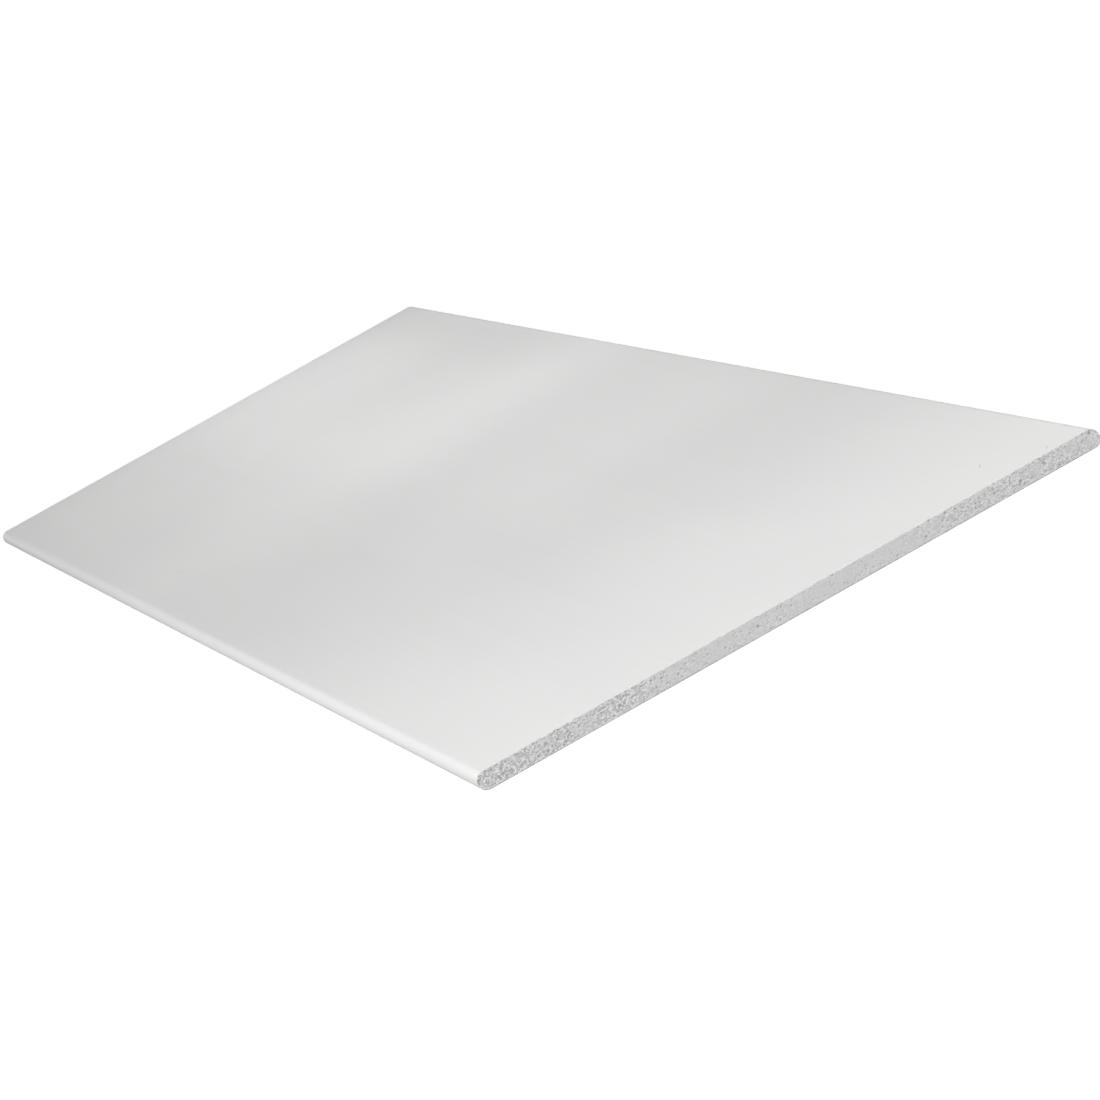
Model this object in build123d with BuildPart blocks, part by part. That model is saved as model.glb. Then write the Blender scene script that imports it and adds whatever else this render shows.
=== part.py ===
from build123d import *
import os

# Driving dimensions, in millimetres
board_length = 2500.0
board_width = 350.0
board_thickness = 10.0

os.makedirs("parts", exist_ok=True)

# Board: one flat extrusion with two wide faces, full half-round long edges and ends sawn square.
# It lies with its underside on z = 0, its width along X and its length along Y, centred on the origin.
far_end = Plane.XZ.offset(-board_length / 2)

with BuildPart() as board:
    with BuildSketch(far_end) as section:
        with Locations((0, board_thickness / 2)):
            SlotOverall(board_width, board_thickness)
    extrude(amount=board_length)

board.part.label = "board"
export_step(board.part, "parts/board.step")
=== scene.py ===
"""A white foamed-plastic board, lying flat on a pale floor and seen along its length from its near end."""

import math

import bpy
import numpy as np
from mathutils import Matrix, Vector


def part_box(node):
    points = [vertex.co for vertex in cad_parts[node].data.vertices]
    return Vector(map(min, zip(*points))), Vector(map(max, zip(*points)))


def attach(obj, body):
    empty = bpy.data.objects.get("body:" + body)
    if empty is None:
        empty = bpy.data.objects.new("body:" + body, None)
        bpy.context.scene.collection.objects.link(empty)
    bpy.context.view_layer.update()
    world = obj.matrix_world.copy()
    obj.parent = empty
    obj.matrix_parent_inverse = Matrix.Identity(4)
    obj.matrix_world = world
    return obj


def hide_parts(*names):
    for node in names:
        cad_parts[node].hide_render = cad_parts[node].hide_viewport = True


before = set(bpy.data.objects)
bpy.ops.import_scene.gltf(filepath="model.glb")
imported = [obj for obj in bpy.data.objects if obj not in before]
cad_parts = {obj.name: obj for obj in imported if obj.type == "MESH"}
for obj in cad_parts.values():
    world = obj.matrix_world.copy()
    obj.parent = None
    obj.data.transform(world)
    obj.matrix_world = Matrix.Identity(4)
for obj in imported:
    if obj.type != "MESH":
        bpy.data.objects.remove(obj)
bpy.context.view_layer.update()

# Board, in metres. X is its width, Y its length and Z its thickness
ALONG = Vector((0, 1, 0))
UP = Vector((0, 0, 1))
board_low, board_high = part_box("board")
middle_x = (board_low.x + board_high.x) / 2
near_y, far_y = board_low.y, board_high.y
nose_radius = (board_high.z - board_low.z) / 2
middle_z = board_low.z + nose_radius
flat_half = (board_high.x - board_low.x) / 2 - nose_radius

# Mesh steps: round a quarter of a nose, across the flat at a sawn end and along the skin, down the length,
# and from the bottom of a sawn end to its top
NOSE_STEPS = 20
FINE_FLAT_STEPS = 1120
FLAT_STEPS = 56
LENGTH_STEPS = 40
END_ROWS = 30

# Sawn ends: the edge that the saw leaves is a small ragged round, and the cut foam is full of open cells,
# given as how many are tried and their smallest and largest radius. They lie thicker towards the long edges,
# most of all the left one
SEED = 41
ARRIS = 0.0004
ARRIS_RAGGED = 0.6
ARRIS_WINDOW = 7
ARRIS_STEPS = 3
ARRIS_GUARD = 0.0012
SKIN_START = 0.010
PORE_RIM = 0.00045
RIM_CHIPS = 0.2
PORE_SIZES = ((2800, 0.00024, 0.00040), (900, 0.00038, 0.00060), (110, 0.00055, 0.00085))
PORE_DEPTH = 0.75
THIN_SHARE = 0.15
RIGHT_SHARE = 0.55
THIN_HALF = 0.040
THICK_HALF = 0.150

# Flat map of the surface for a baked look: its edge, and the heights of the sawn ends and of the skin on it
MAP_EDGE = 0.01
NEAR_STRIP = 0.005
FAR_STRIP = 0.055
STRIP_HEIGHT = 0.04
SKIN_STRIP = 0.11
SKIN_HEIGHT = 0.88

# Noise: the part of its range that the skin's tone and gloss follow, and the detail of the finer kinds
NOISE_RANGE = (0.3, 0.7)
FINE_DETAIL = 3.0

# Skin: two tones that drift into each other, its gloss, and its relief as a scale of noise and a height
SKIN_TONES = ((0.776, 0.776, 0.772, 1), (0.801, 0.801, 0.795, 1))
SKIN_ROUGHNESS = (0.60, 0.70)
SKIN_SPECULAR = 0.1
TONE_SCALE = (9, 2.2, 9)
DIE_LINE_SCALE = (420, 0.7, 420)
DIE_LINE_HEIGHT = 0.000008
PEEL_SCALE = (210, 120, 210)
PEEL_HEIGHT = 0.000006

# Scuffs on the top face: place, turn in degrees, half size and strength. Each is even in its core, fades out
# from there and is broken up by wear
SCUFFS = (
    ((0.1273, -1.171, 0.010), -12.4, (0.0007, 0.0090, 0.0020), 0.60),
    ((0.1515, -1.234, 0.010), -12.4, (0.0009, 0.0070, 0.0020), 0.50),
    ((-0.1365, 0.343, 0.010), 0.0, (0.0030, 0.0160, 0.0020), 0.10),
)
SCUFF_COLOUR = (0.42, 0.42, 0.41, 1)
SCUFF_CORE = 0.2
WEAR_SCALE = (1500, 500, 1500)
WEAR_RANGE = (0.35, 0.55)
LEAST_WEAR = 0.3

# Cut foam: its darkest and lightest tone, how light it is as a whole, and its gloss. Its cells differ in
# tone, less in the middle of the width and in faded patches, and open cells get painted shade with depth
FOAM_TONES = ((0.50, 0.50, 0.505, 1), (0.94, 0.94, 0.94, 1))
FOAM_LIGHT = 0.64
FOAM_ROUGHNESS = 0.85
FOAM_SPECULAR = 0.2
CELL_SCALE = (1250, 1250, 1250)
CELL_RANGE = (0.2, 0.8)
CELL_CONTRAST = 0.65
CELL_HEIGHT = 0.00008
MIDDLE_CONTRAST = 0.35
PATCH_SCALE = (70, 70, 110)
PATCH_RANGE = (0.35, 0.62)
PATCH_CONTRAST = 0.25
# Painted shade in the open cells: its grey, and the depth at which that grey is full
PORE_SHADE_COLOUR = (0.52, 0.52, 0.525, 1)
PORE_SHADE_DEPTH = 0.00055
SAW_MARK_SCALE = (900, 900, 70)
SAW_MARK_HEIGHT = 0.00004

# Sockets of a Mix node for its factor and its two colours, and for the colour that comes out
MIX_INPUTS = (0, 6, 7)
MIX_RESULT = 2

# Camera, from the board's outline in a picture 1100 pixels wide, with its angles in degrees
IMAGE_SIZE = 1100
SENSOR_WIDTH = 36.0
FOCAL_PIXELS = 9800.5
CAMERA_PLACE = Vector((-0.5878, -5.9412, 0.6265))
CAMERA_AZIMUTH = 6.068
CAMERA_DIP = 6.517
CAMERA_ROLL = -28.62

# Floor, just under the board: a grey that catches light and shadow, and a glow that makes it look white.
# Within an ellipse round the board, where the softboxes reach, it glows less than it does further out
FLOOR_SIZE = 160.0
FLOOR_GAP = 0.0002
FLOOR_GREY = 0.18
FLOOR_GLOW = 0.925
FAR_GLOW = 0.98
GLOW_ELLIPSE = (0.5, 1.5)
GLOW_SPREAD = 1.6

# Light: an even world, and softboxes by name, place, the point they face, size across and along, and watts
AMBIENT = 0.15
SOFTBOXES = (
    ("key_softbox", (-1.7, -0.9, 0.9), (0.0, -0.8, 0.0), (0.5, 2.4), 29.9),
    ("front_softbox", (0.0, -3.3, 1.2), (0.0, -1.2, 0.0), (1.2, 0.8), 35.4),
    ("near_softbox", (0.45, -1.1, 0.9), (0.10, -1.0, 0.0), (0.4, 0.8), 2.4),
    ("far_softbox", (-1.2, 1.3, 0.9), (-0.15, 1.0, 0.0), (0.4, 1.0), 4.5),
    ("middle_strip", (0.13, 0.02, 0.23), (0.11, 0.02, 0.0), (0.05, 0.85), 0.19),
    ("far_strip", (0.08, 0.77, 0.25), (0.04, 0.74, 0.0), (0.07, 1.1), 0.53),
    ("right_strip", (1.5, 0.0, 0.10), (0.17, 0.0, 0.005), (0.14, 2.6), 9.6),
    ("back_strip", (0.0, 2.6, 0.10), (0.0, 1.25, 0.005), (1.0, 0.14), 4.5),
)


def section_columns(inset, flat_steps):
    """x from the middle and half-height of the columns across the section, from left tip to right tip."""
    turn = np.linspace(0, math.pi / 2, NOSE_STEPS + 1)[:-1]
    angle = np.concatenate([math.pi - turn, np.full(flat_steps + 1, math.pi / 2), turn[::-1]])
    flat_x = np.linspace(-flat_half, flat_half, flat_steps + 1)
    centre = np.concatenate([np.full(NOSE_STEPS, -flat_half), flat_x, np.full(NOSE_STEPS, flat_half)])
    return centre + (nose_radius - inset) * np.cos(angle), (nose_radius - inset) * np.sin(angle)


def section_loop(y, inset, flat_steps):
    """The section's outline as a closed loop of points, over the top to the right and back underneath."""
    x, height = section_columns(inset, flat_steps)
    y = np.broadcast_to(y, x.shape)
    loop_x = np.concatenate([x, x[-2:0:-1]])
    loop_y = np.concatenate([y, y[-2:0:-1]])
    loop_z = np.concatenate([height, -height[-2:0:-1]])
    return np.column_stack([middle_x + loop_x, loop_y, middle_z + loop_z])


def coarse_places():
    """Where the points of a coarse loop are along a fine one, counted in the fine loop's points."""
    ratio = FINE_FLAT_STEPS // FLAT_STEPS
    half_loop = np.concatenate([np.full(NOSE_STEPS, 1), np.full(FLAT_STEPS, ratio), np.full(NOSE_STEPS, 1)])
    return np.concatenate([[0], np.cumsum(np.concatenate([half_loop, half_loop]))])[:-1]


def smooth_step(value, low, high):
    """0 up to low, 1 from high on, and a smooth rise between them."""
    share = np.clip((value - low) / (high - low), 0, 1)
    return share * share * (3 - 2 * share)


def ragged_arris(rng):
    """Radius of the sawn edge at each column, uneven in short stretches."""
    columns = section_columns(0, FINE_FLAT_STEPS)[0].size
    rough = rng.uniform(-1, 1, columns + ARRIS_WINDOW - 1)
    waves = np.convolve(rough, np.full(ARRIS_WINDOW, ARRIS_WINDOW ** -0.5), "valid")
    return ARRIS * (1 + ARRIS_RAGGED * np.clip(waves, -1, 1))


def pore_depths(x, z, arris, rng):
    """Depth of the open foam cells under each point of a sawn end, which only chip its rim."""
    depth = np.zeros(x.shape)
    column_x = x[:, END_ROWS // 2]
    for count, smallest, largest in PORE_SIZES:
        for _ in range(count):
            centre_x = rng.uniform(-flat_half - nose_radius, flat_half + nose_radius)
            centre_z = rng.uniform(-nose_radius, nose_radius)
            radius = rng.uniform(smallest, largest)
            share = THIN_SHARE + (1 - THIN_SHARE) * smooth_step(abs(centre_x), THIN_HALF, THICK_HALF)
            if rng.uniform() > share * (RIGHT_SHARE if centre_x > 0 else 1):
                continue
            first, last = np.searchsorted(column_x, (centre_x - radius, centre_x + radius))
            away = (x[first:last] - centre_x) ** 2 + (z[first:last] - centre_z) ** 2
            bowl = PORE_DEPTH * np.sqrt(np.maximum(radius ** 2 - away, 0))
            depth[first:last] = np.maximum(depth[first:last], bowl)
    outside = np.maximum(np.abs(x) - flat_half, 0)
    to_rim = nose_radius - arris[:, None] - np.hypot(outside, z)
    return depth * np.clip(to_rim / PORE_RIM, RIM_CHIPS, 1)


class BoardMesh:
    """Points and faces of the board, gathered loop by loop."""

    def __init__(self):
        self.points = []
        self.pores = []
        self.faces = []
        self.foam_faces = []

    def add_points(self, points, pores=0.0):
        start = len(self.points)
        self.points.extend(points.tolist())
        self.pores.extend(np.broadcast_to(pores, len(points)).tolist())
        return np.arange(start, start + len(points))

    def add_face(self, corners, foam=False):
        """A face between corners, of which some may be the same point."""
        corners = list(dict.fromkeys(int(c) for c in corners))
        self.faces.append(corners)
        self.foam_faces.append(foam)

    def add_sawn_end(self, y, inward, arris, rng):
        """The cut face, with its open cells. Returns its outline as a loop."""
        x, height = section_columns(arris, FINE_FLAT_STEPS)
        share = np.linspace(-1, 1, END_ROWS + 1)
        grid_x = np.repeat(x[:, None], share.size, axis=1)
        grid_z = height[:, None] * share
        depth = pore_depths(grid_x, grid_z, arris, rng)
        points = np.dstack([middle_x + grid_x, y + inward * depth, middle_z + grid_z])
        inner = self.add_points(points[1:-1].reshape(-1, 3), depth[1:-1].ravel())
        tips = self.add_points(points[[0, -1], 0])
        index = np.empty(grid_x.shape, int)
        index[1:-1] = inner.reshape(x.size - 2, share.size)
        index[0], index[-1] = tips
        for i in range(x.size - 1):
            for j in range(END_ROWS):
                corners = (index[i, j], index[i + 1, j], index[i + 1, j + 1], index[i, j + 1])
                self.add_face(corners, foam=True)
        return np.concatenate([index[:, -1], index[-2:0:-1, 0]])

    def add_band(self, first, second):
        """Four-sided faces between two loops with the same number of points."""
        corners = (first, np.roll(first, -1), np.roll(second, -1), second)
        for face in zip(*corners):
            self.add_face(face)

    def add_zip(self, fine, coarse):
        """Faces between a fine loop and a coarse one: each coarse step closes a fan of fine ones."""
        place = coarse_places()
        ends = np.append(place[1:], len(fine))
        for k, (start, end) in enumerate(zip(place, ends)):
            run = [fine[i % len(fine)] for i in range(start, end + 1)]
            self.add_face([coarse[k], *run, coarse[(k + 1) % len(coarse)]])


def build_board_mesh():
    """The whole board as one closed mesh: the two sawn ends, and the skin between them."""
    rng = np.random.default_rng(SEED)
    board = BoardMesh()
    skin_ends = []
    for y, inward in ((near_y, 1), (far_y, -1)):
        arris = ragged_arris(rng)
        loop = board.add_sawn_end(y, inward, arris, rng)
        for step in range(1, ARRIS_STEPS + 1):
            turn = math.pi / 2 * step / ARRIS_STEPS
            inset = arris * (1 - math.sin(turn))
            ring = section_loop(y + inward * arris * (1 - math.cos(turn)), inset, FINE_FLAT_STEPS)
            ring_index = board.add_points(ring)
            board.add_band(loop, ring_index)
            loop = ring_index
        guard = board.add_points(section_loop(y + inward * ARRIS_GUARD, 0, FINE_FLAT_STEPS))
        board.add_band(loop, guard)
        start = board.add_points(section_loop(y + inward * SKIN_START, 0, FLAT_STEPS))
        board.add_zip(guard, start)
        skin_ends.append(start)
    loop = skin_ends[0]
    skin_y = np.linspace(near_y + SKIN_START, far_y - SKIN_START, LENGTH_STEPS + 1)
    for y in skin_y[1:-1]:
        ring_index = board.add_points(section_loop(y, 0, FLAT_STEPS))
        board.add_band(loop, ring_index)
        loop = ring_index
    board.add_band(loop, skin_ends[1])
    return board


def flat_map(shape):
    """Places of the face corners on a flat map: the skin unrolled, and the two sawn ends under it."""
    corners = np.concatenate(shape.faces)
    counts = [len(face) for face in shape.faces]
    face = np.repeat(np.arange(len(counts)), counts)
    x, y, z = np.array(shape.points)[corners].T
    x = x - middle_x
    z = z - middle_z
    flat_x = np.clip(x, -flat_half, flat_half)
    half_way = math.pi * nose_radius + 2 * flat_half
    over = half_way / 2 + flat_x + nose_radius * np.arctan2(x - flat_x, np.abs(z))
    face_z = np.bincount(face, z) / counts
    around = np.where(face_z[face] > 0, over, 2 * half_way - over) / (2 * half_way)
    along = (y - near_y) / (far_y - near_y)
    across = 0.5 + x / (2 * (flat_half + nose_radius))
    upward = 0.5 + z / (2 * nose_radius)
    foam = np.array(shape.foam_faces)[face]
    strip = np.where(along < 0.5, NEAR_STRIP, FAR_STRIP)
    map_x = MAP_EDGE + (1 - 2 * MAP_EDGE) * np.where(foam, across, along)
    map_y = np.where(foam, strip + STRIP_HEIGHT * upward, SKIN_STRIP + SKIN_HEIGHT * around)
    return np.column_stack([map_x, map_y])


def make_board():
    """The board's object, with skin and foam as its two materials."""
    shape = build_board_mesh()
    mesh = bpy.data.meshes.new("board_stock")
    mesh.from_pydata(shape.points, [], shape.faces)
    mesh.attributes.new("pore_depth", "FLOAT", "POINT").data.foreach_set("value", shape.pores)
    mesh.uv_layers.new(name="OFBake").data.foreach_set("uv", flat_map(shape).ravel())
    mesh.materials.append(skin_material())
    mesh.materials.append(foam_material())
    mesh.polygons.foreach_set("material_index", np.array(shape.foam_faces, dtype=np.int32))
    mesh.polygons.foreach_set("use_smooth", np.ones(len(mesh.polygons), dtype=bool))
    board = bpy.data.objects.new("board_stock", mesh)
    bpy.context.scene.collection.objects.link(board)
    bpy.context.view_layer.objects.active = board
    board.select_set(True)
    bpy.ops.object.mode_set(mode="EDIT")
    bpy.ops.mesh.select_all(action="SELECT")
    bpy.ops.mesh.normals_make_consistent(inside=False)
    bpy.ops.object.mode_set(mode="OBJECT")
    return board


class Nodes:
    """Short forms for building the nodes of a material or a world."""

    def __init__(self, owner, output):
        owner.use_nodes = True
        self.tree = owner.node_tree
        self.tree.nodes.clear()
        self.output = self.add(output)

    def add(self, kind, **settings):
        node = self.tree.nodes.new(kind)
        for key, value in settings.items():
            setattr(node, key, value)
        return node

    def feed(self, socket, value):
        """Link a socket to another one, or give it a value."""
        if isinstance(value, bpy.types.NodeSocket):
            self.tree.links.new(value, socket)
        else:
            socket.default_value = value

    def set(self, node, **inputs):
        """Feed a node's inputs by name, with _ for a space."""
        for key, value in inputs.items():
            self.feed(node.inputs[key.replace("_", " ")], value)
        return node

    def place(self, scale=(1, 1, 1)):
        """The object's own coordinates in metres, stretched by scale on each axis."""
        where = self.add("ShaderNodeTexCoord").outputs["Object"]
        return self.set(self.add("ShaderNodeMapping"), Vector=where, Scale=scale).outputs["Vector"]

    def noise(self, scale, detail=2.0):
        node = self.add("ShaderNodeTexNoise")
        self.set(node, Vector=self.place(scale), Scale=1.0, Detail=detail)
        return node.outputs["Fac"]

    def length(self, vector):
        node = self.add("ShaderNodeVectorMath", operation="LENGTH")
        return self.set(node, Vector=vector).outputs["Value"]

    def map_range(self, value, low, high, to_low, to_high, smooth=False):
        node = self.add("ShaderNodeMapRange", interpolation_type="SMOOTHSTEP" if smooth else "LINEAR")
        self.set(node, Value=value, From_Min=low, From_Max=high, To_Min=to_low, To_Max=to_high)
        return node.outputs["Result"]

    def mix_colour(self, factor, first, second):
        node = self.add("ShaderNodeMix", data_type="RGBA")
        for index, value in zip(MIX_INPUTS, (factor, first, second)):
            self.feed(node.inputs[index], value)
        return node.outputs[MIX_RESULT]

    def math(self, operation, *values):
        node = self.add("ShaderNodeMath", operation=operation)
        for socket, value in zip(node.inputs, values):
            self.feed(socket, value)
        return node.outputs[0]

    def bump(self, height, distance, normal=None):
        node = self.set(self.add("ShaderNodeBump"), Height=height, Strength=1.0, Distance=distance)
        if normal is not None:
            self.feed(node.inputs["Normal"], normal)
        return node.outputs["Normal"]

    def seen_white(self):
        """1 for rays from the camera, from gloss or through glass, and 0 for the rest."""
        path = self.add("ShaderNodeLightPath")
        seen = self.math("MAXIMUM", path.outputs["Is Camera Ray"], path.outputs["Is Glossy Ray"])
        return self.math("MAXIMUM", seen, path.outputs["Is Transmission Ray"])

    def finish(self, shader):
        self.feed(self.output.inputs["Surface"], shader)


def new_material(name):
    material = bpy.data.materials.new(name)
    return material, Nodes(material, "ShaderNodeOutputMaterial")


def scuff_mask(nodes, place, turn, size, strength):
    """The strength in the middle of a worn spot and 0 away from it, broken up by noise."""
    local = nodes.add("ShaderNodeMapping", vector_type="TEXTURE")
    nodes.set(local, Vector=nodes.place(), Location=place, Scale=size)
    nodes.set(local, Rotation=(0, 0, math.radians(turn)))
    away = nodes.length(local.outputs["Vector"])
    spot = nodes.map_range(away, SCUFF_CORE, 1.0, strength, 0.0, smooth=True)
    worn = nodes.map_range(nodes.noise(WEAR_SCALE, FINE_DETAIL), *WEAR_RANGE, LEAST_WEAR, 1.0)
    return nodes.math("MULTIPLY", spot, worn)


def skin_material():
    """Matt satin white skin with faint die lines along the length, and a few scuffs."""
    material, nodes = new_material("white_plastic_skin")
    die_lines = nodes.noise(DIE_LINE_SCALE, FINE_DETAIL)
    peel = nodes.noise(PEEL_SCALE)
    tone = nodes.map_range(nodes.noise(TONE_SCALE), *NOISE_RANGE, 0.0, 1.0)
    colour = nodes.mix_colour(tone, *SKIN_TONES)
    for scuff in SCUFFS:
        colour = nodes.mix_colour(scuff_mask(nodes, *scuff), colour, SCUFF_COLOUR)
    roughness = nodes.map_range(die_lines, *NOISE_RANGE, *SKIN_ROUGHNESS)
    normal = nodes.bump(peel, PEEL_HEIGHT, nodes.bump(die_lines, DIE_LINE_HEIGHT))
    shader = nodes.add("ShaderNodeBsdfPrincipled")
    nodes.set(shader, Base_Color=colour, Roughness=roughness, Normal=normal)
    nodes.set(shader, Specular_IOR_Level=SKIN_SPECULAR)
    nodes.finish(shader.outputs["BSDF"])
    return material


def foam_material():
    """Cut foam: matt and speckled, most of all towards the long edges, with painted shade in its open cells.
    """
    material, nodes = new_material("cut_foam")
    pore = nodes.add("ShaderNodeAttribute", attribute_name="pore_depth").outputs["Fac"]
    cells = nodes.set(nodes.add("ShaderNodeTexVoronoi"), Vector=nodes.place(CELL_SCALE), Scale=1.0)
    cell_colour = nodes.set(nodes.add("ShaderNodeSeparateColor"), Color=cells.outputs["Color"])
    cell_tone = nodes.map_range(cell_colour.outputs["Red"], *CELL_RANGE, -CELL_CONTRAST, CELL_CONTRAST)
    across = nodes.set(nodes.add("ShaderNodeSeparateXYZ"), Vector=nodes.place()).outputs["X"]
    to_edge = nodes.math("ABSOLUTE", nodes.math("SUBTRACT", across, middle_x))
    thick = nodes.map_range(to_edge, THIN_HALF, THICK_HALF, MIDDLE_CONTRAST, 1.0, smooth=True)
    patches = nodes.map_range(nodes.noise(PATCH_SCALE), *PATCH_RANGE, PATCH_CONTRAST, 1.0)
    side = nodes.map_range(across, -THIN_HALF, THIN_HALF, 1.0, RIGHT_SHARE)
    contrast = nodes.math("MULTIPLY", nodes.math("MULTIPLY", thick, patches), side)
    light = nodes.math("ADD", nodes.math("MULTIPLY", cell_tone, contrast), FOAM_LIGHT)
    # Painted shade: an open cell's colour turns grey with its depth, on top of the real shade of its relief
    pore_shade = nodes.map_range(pore, 0.0, PORE_SHADE_DEPTH, 0.0, 1.0)
    colour = nodes.mix_colour(pore_shade, nodes.mix_colour(light, *FOAM_TONES), PORE_SHADE_COLOUR)
    saw_marks = nodes.bump(nodes.noise(SAW_MARK_SCALE), SAW_MARK_HEIGHT)
    normal = nodes.bump(cells.outputs["Distance"], CELL_HEIGHT, saw_marks)
    shader = nodes.add("ShaderNodeBsdfPrincipled")
    nodes.set(shader, Base_Color=colour, Normal=normal)
    nodes.set(shader, Roughness=FOAM_ROUGHNESS, Specular_IOR_Level=FOAM_SPECULAR)
    nodes.finish(shader.outputs["BSDF"])
    return material


def make_floor():
    """A pale floor that looks white and keeps the board's shadow; away from the lamps it glows more."""
    half = FLOOR_SIZE / 2
    corners = [(-half, -half, 0), (half, -half, 0), (half, half, 0), (-half, half, 0)]
    mesh = bpy.data.meshes.new("floor")
    mesh.from_pydata(corners, [], [(0, 1, 2, 3)])
    floor = bpy.data.objects.new("floor", mesh)
    floor.location.z = board_low.z - FLOOR_GAP
    bpy.context.scene.collection.objects.link(floor)
    material, nodes = new_material("pale_floor")
    matt = nodes.add("ShaderNodeBsdfDiffuse")
    nodes.set(matt, Color=(FLOOR_GREY, FLOOR_GREY, FLOOR_GREY, 1))
    away = nodes.length(nodes.place((1 / GLOW_ELLIPSE[0], 1 / GLOW_ELLIPSE[1], 1)))
    glow = nodes.map_range(away, 1.0, GLOW_SPREAD, FLOOR_GLOW, FAR_GLOW, smooth=True)
    light = nodes.add("ShaderNodeEmission")
    nodes.set(light, Strength=nodes.math("MULTIPLY", glow, nodes.seen_white()))
    both = nodes.add("ShaderNodeAddShader")
    nodes.feed(both.inputs[0], matt.outputs["BSDF"])
    nodes.feed(both.inputs[1], light.outputs["Emission"])
    nodes.finish(both.outputs["Shader"])
    mesh.materials.append(material)


def make_world():
    """Even light from all round, which looks white."""
    world = bpy.data.worlds.new("studio")
    bpy.context.scene.world = world
    nodes = Nodes(world, "ShaderNodeOutputWorld")
    sky = nodes.add("ShaderNodeBackground")
    strength = nodes.map_range(nodes.seen_white(), 0.0, 1.0, AMBIENT, 1.0)
    nodes.set(sky, Color=(1, 1, 1, 1), Strength=strength)
    nodes.finish(sky.outputs["Background"])


def axes_facing(direction, up):
    """Axes of a lamp or camera that looks along direction, with its own Y axis as near to up as can be."""
    back = -direction.normalized()
    right = up.cross(back).normalized()
    return Matrix((right, back.cross(right), back)).transposed()


def make_softboxes():
    """The lamps, which the camera doesn't see."""
    for name, place, target, size, watts in SOFTBOXES:
        lamp = bpy.data.lights.new(name, "AREA")
        lamp.shape = "RECTANGLE"
        lamp.size, lamp.size_y = size
        lamp.energy = watts
        box = bpy.data.objects.new(name, lamp)
        turned = axes_facing(Vector(target) - Vector(place), ALONG)
        box.matrix_world = Matrix.Translation(place) @ turned.to_4x4()
        box.visible_camera = False
        bpy.context.scene.collection.objects.link(box)


def make_camera():
    """A long lens, turned about its axis as the picture is."""
    data = bpy.data.cameras.new("camera")
    data.sensor_width = SENSOR_WIDTH
    data.lens = FOCAL_PIXELS / IMAGE_SIZE * SENSOR_WIDTH
    azimuth = math.radians(CAMERA_AZIMUTH)
    dip = math.radians(CAMERA_DIP)
    level = math.cos(dip)
    forward = Vector((math.sin(azimuth) * level, math.cos(azimuth) * level, -math.sin(dip)))
    roll = Matrix.Rotation(math.radians(CAMERA_ROLL), 3, "Z")
    axes = axes_facing(forward, UP) @ roll
    camera = bpy.data.objects.new("camera", data)
    camera.matrix_world = Matrix.Translation(CAMERA_PLACE) @ axes.to_4x4()
    bpy.context.scene.collection.objects.link(camera)
    bpy.context.scene.camera = camera


board = make_board()
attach(board, "root")
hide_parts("board")
make_floor()
make_world()
make_softboxes()
make_camera()
bpy.context.scene.view_settings.view_transform = "Standard"
